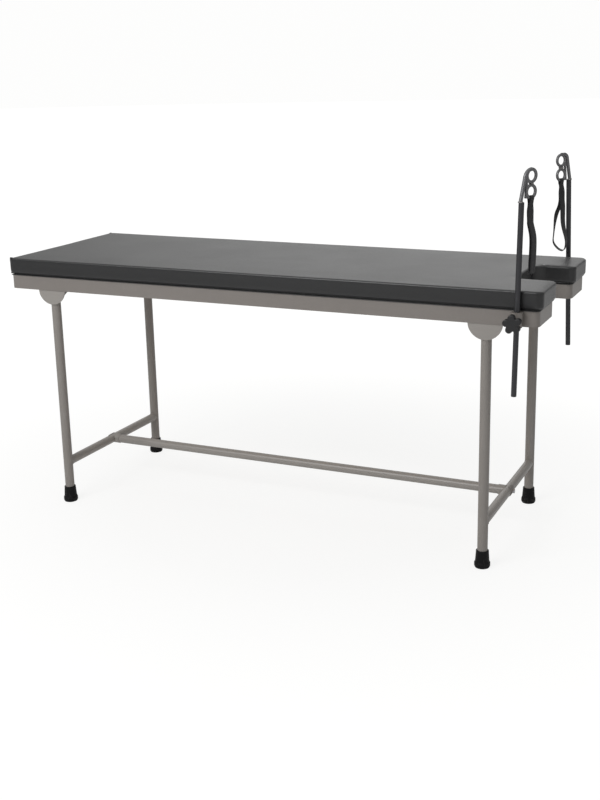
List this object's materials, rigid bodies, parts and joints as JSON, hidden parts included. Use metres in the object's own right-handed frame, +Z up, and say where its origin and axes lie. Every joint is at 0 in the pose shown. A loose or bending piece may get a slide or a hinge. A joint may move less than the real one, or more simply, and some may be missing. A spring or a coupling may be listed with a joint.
{
  "type": "gynaecological examination table",
  "caption": "Examination table: padded top with a notch at the foot end, tubular steel frame, and clamped leg-support poles with ring heads and webbing slings.",
  "frame": {"origin": "on the floor, under the middle of the padded top", "axes": "+X along the table to the foot end with the notch, +Y across it to the far side, +Z up"},
  "size_m": [1.848, 0.7606, 1.2106],
  "materials": {
    "leatherette": "dark grey leatherette with a soft sheen",
    "foam": "open foam, inside the cover",
    "plywood": "plain plywood, inside the cover",
    "frame_paint": "grey-brown semi-gloss paint",
    "rubber": "black rubber",
    "plated_steel": "dull zinc plate",
    "pole_steel": "dark grey, smooth",
    "ring_steel": "grey bare steel with weld beads",
    "webbing": "black woven webbing",
    "knob_plastic": "black moulded plastic"
  },
  "bodies": {
    "frame": {"pad_cover": "leatherette", "pad_foam": "foam", "pad_board": "plywood", "rail_head": "frame_paint", "rail_notch_end": "frame_paint", "rail_side_near": "frame_paint", "rail_side_far": "frame_paint", "rail_lobe_near": "frame_paint", "rail_lobe_far": "frame_paint", "rail_notch_near": "frame_paint", "rail_notch_far": "frame_paint", "cross_member_head": "frame_paint", "cross_member_middle": "frame_paint", "cross_member_foot": "frame_paint", "cross_tie_head": "frame_paint", "cross_tie_foot": "frame_paint", "leg_tube_head_near": "frame_paint", "leg_tube_head_far": "frame_paint", "leg_tube_foot_near": "frame_paint", "leg_tube_foot_far": "frame_paint", "leg_bracket_head_near": "frame_paint", "leg_bracket_head_far": "frame_paint", "leg_bracket_foot_near": "frame_paint", "leg_bracket_foot_far": "frame_paint", "crossbar_head": "frame_paint", "crossbar_foot": "frame_paint", "stretcher": "frame_paint", "stretcher_sleeves": "frame_paint", "pole_socket_near": "frame_paint", "pole_socket_far": "frame_paint", "ferrule_head_near": "rubber", "ferrule_head_far": "rubber", "ferrule_foot_near": "rubber", "ferrule_foot_far": "rubber", "board_screws": "plated_steel", "stretcher_plugs": "plated_steel", "saddle_washers": "plated_steel", "stretcher_bolts": "plated_steel", "weld_nuts": "plated_steel"},
    "pole_near": {"pole_rod_near": "pole_steel"},
    "head_near": {"ring_head_near": "ring_steel"},
    "sling_near": {"strap_near": "webbing"},
    "screw_near": {"clamp_screw_near": "plated_steel"},
    "knob_near": {"star_knob_near": "knob_plastic"},
    "pole_far": {"pole_rod_far": "pole_steel"},
    "head_far": {"ring_head_far": "ring_steel"},
    "sling_far": {"strap_far": "webbing"},
    "screw_far": {"clamp_screw_far": "plated_steel"},
    "knob_far": {"star_knob_far": "knob_plastic"}
  },
  "joints": [
    {"name": "pole_height_near", "type": "slide", "parent": "frame", "child": "pole_near", "axis": [0.014, 0, 0.9999], "range_m": [-0.015, 0.2]},
    {"name": "head_turn_near", "type": "hinge", "parent": "pole_near", "child": "head_near", "pos_m": [0.85832, -0.32188, 1.11697], "axis": [0.014, 0, 0.9999], "continuous": true},
    {"name": "sling_swing_near", "type": "hinge", "parent": "head_near", "child": "sling_near", "pos_m": [0.87591, -0.29039, 1.12622], "axis": [0.4848, 0.8746, 0], "range_deg": [-75, 75]},
    {"name": "screw_travel_near", "type": "slide", "parent": "frame", "child": "screw_near", "axis": [0, -1, 0], "range_m": [0, 0.00251]},
    {"name": "knob_turn_near", "type": "hinge", "parent": "screw_near", "child": "knob_near", "pos_m": [0.8537, -0.35187, 0.783], "axis": [0, -1, 0], "range_deg": [0, 720]},
    {"name": "pole_height_far", "type": "slide", "parent": "frame", "child": "pole_far", "axis": [-0.0314, 0, 0.9995], "range_m": [-0.015, 0.2]},
    {"name": "head_turn_far", "type": "hinge", "parent": "pole_far", "child": "head_far", "pos_m": [0.8497, 0.32188, 1.11684], "axis": [-0.0314, 0, 0.9995], "continuous": true},
    {"name": "sling_swing_far", "type": "hinge", "parent": "head_far", "child": "sling_far", "pos_m": [0.83119, 0.29102, 1.11576], "axis": [-0.515, -0.8572, 0], "range_deg": [-75, 75]},
    {"name": "screw_travel_far", "type": "slide", "parent": "frame", "child": "screw_far", "axis": [0, 1, 0], "range_m": [0, 0.00251]},
    {"name": "knob_turn_far", "type": "hinge", "parent": "screw_far", "child": "knob_far", "pos_m": [0.8601, 0.35187, 0.783], "axis": [0, 1, 0], "range_deg": [0, 720]}
  ],
  "couplings": [
    {"joint": "screw_travel_near", "follows": "knob_turn_near", "m_per_rad": 0.00019894},
    {"joint": "screw_travel_far", "follows": "knob_turn_far", "m_per_rad": 0.00019894}
  ]
}
